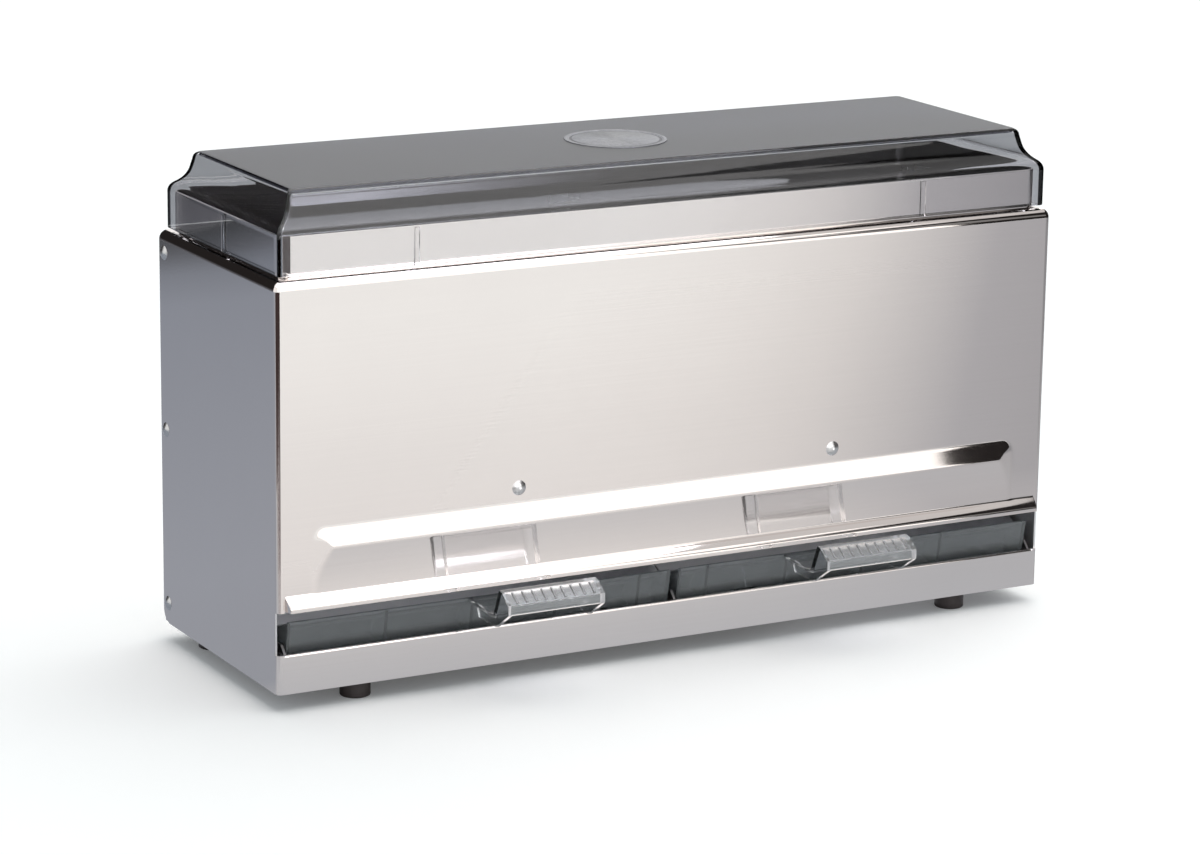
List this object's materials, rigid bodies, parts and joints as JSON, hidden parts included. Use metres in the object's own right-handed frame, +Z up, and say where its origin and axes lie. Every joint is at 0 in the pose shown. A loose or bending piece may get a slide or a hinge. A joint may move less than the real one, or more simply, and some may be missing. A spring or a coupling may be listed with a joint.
{
  "type": "straw dispenser",
  "caption": "Free-standing stainless counter dispenser for drinking straws, with side-by-side bays, a lift-off smoked lid and clear press levers in a slot along the front.",
  "frame": {"origin": "on the table under the feet, at the middle of the whole outline seen from above", "axes": "+X to the right along the front, +Y from the front to the back, +Z up"},
  "size_m": [0.435, 0.1784, 0.249],
  "materials": {
    "bright_steel": "bright annealed, faintly grained",
    "inner_steel": "dull mill finish",
    "smoked_plastic": "smoked clear, glossy skirt, fine-textured top",
    "clear_plastic": "water clear, glossy",
    "rivet_steel": "satin",
    "rod_steel": "ground",
    "spring_steel": "drawn wire",
    "screw_steel": "zinc plated",
    "foot_rubber": "matte moulded"
  },
  "bodies": {
    "case": {"housing_wrap": "bright_steel", "back_panel": "bright_steel", "top_collar": "bright_steel", "base_pan": "inner_steel", "hopper_divider": "inner_steel", "left_hopper_floor": "inner_steel", "right_hopper_floor": "inner_steel", "left_flow_guide": "inner_steel", "right_flow_guide": "inner_steel", "left_side_rivets": "rivet_steel", "right_side_rivets": "rivet_steel", "front_rivets": "rivet_steel", "bracket_rivets": "rivet_steel", "left_lever_spring": "spring_steel", "right_lever_spring": "spring_steel", "lever_rod": "rod_steel", "rod_retaining_rings": "spring_steel", "left_rod_bracket": "inner_steel", "right_rod_bracket": "inner_steel", "centre_rod_bracket": "inner_steel", "foot_screws": "screw_steel", "foot_front_left": "foot_rubber", "foot_front_right": "foot_rubber", "foot_rear_left": "foot_rubber", "foot_rear_right": "foot_rubber"},
    "lid": {"lid": "smoked_plastic"},
    "left_lever": {"left_lever": "clear_plastic"},
    "right_lever": {"right_lever": "clear_plastic"}
  },
  "joints": [
    {"name": "left_lever_press", "type": "hinge", "parent": "case", "child": "left_lever", "pos_m": [-0.106, -0.04285, 0.0242], "axis": [1, 0, 0], "range_deg": [0, 30], "stiffness_Nm_per_rad": 0.12, "springref_deg": -34.38, "deforming": ["left_lever_spring"]},
    {"name": "right_lever_press", "type": "hinge", "parent": "case", "child": "right_lever", "pos_m": [0.106, -0.04285, 0.0242], "axis": [1, 0, 0], "range_deg": [0, 30], "stiffness_Nm_per_rad": 0.12, "springref_deg": -34.38, "deforming": ["right_lever_spring"]},
    {"name": "lid_lift", "type": "slide", "parent": "case", "child": "lid", "axis": [0, 0, 1], "range_m": [0, 0.08]}
  ]
}
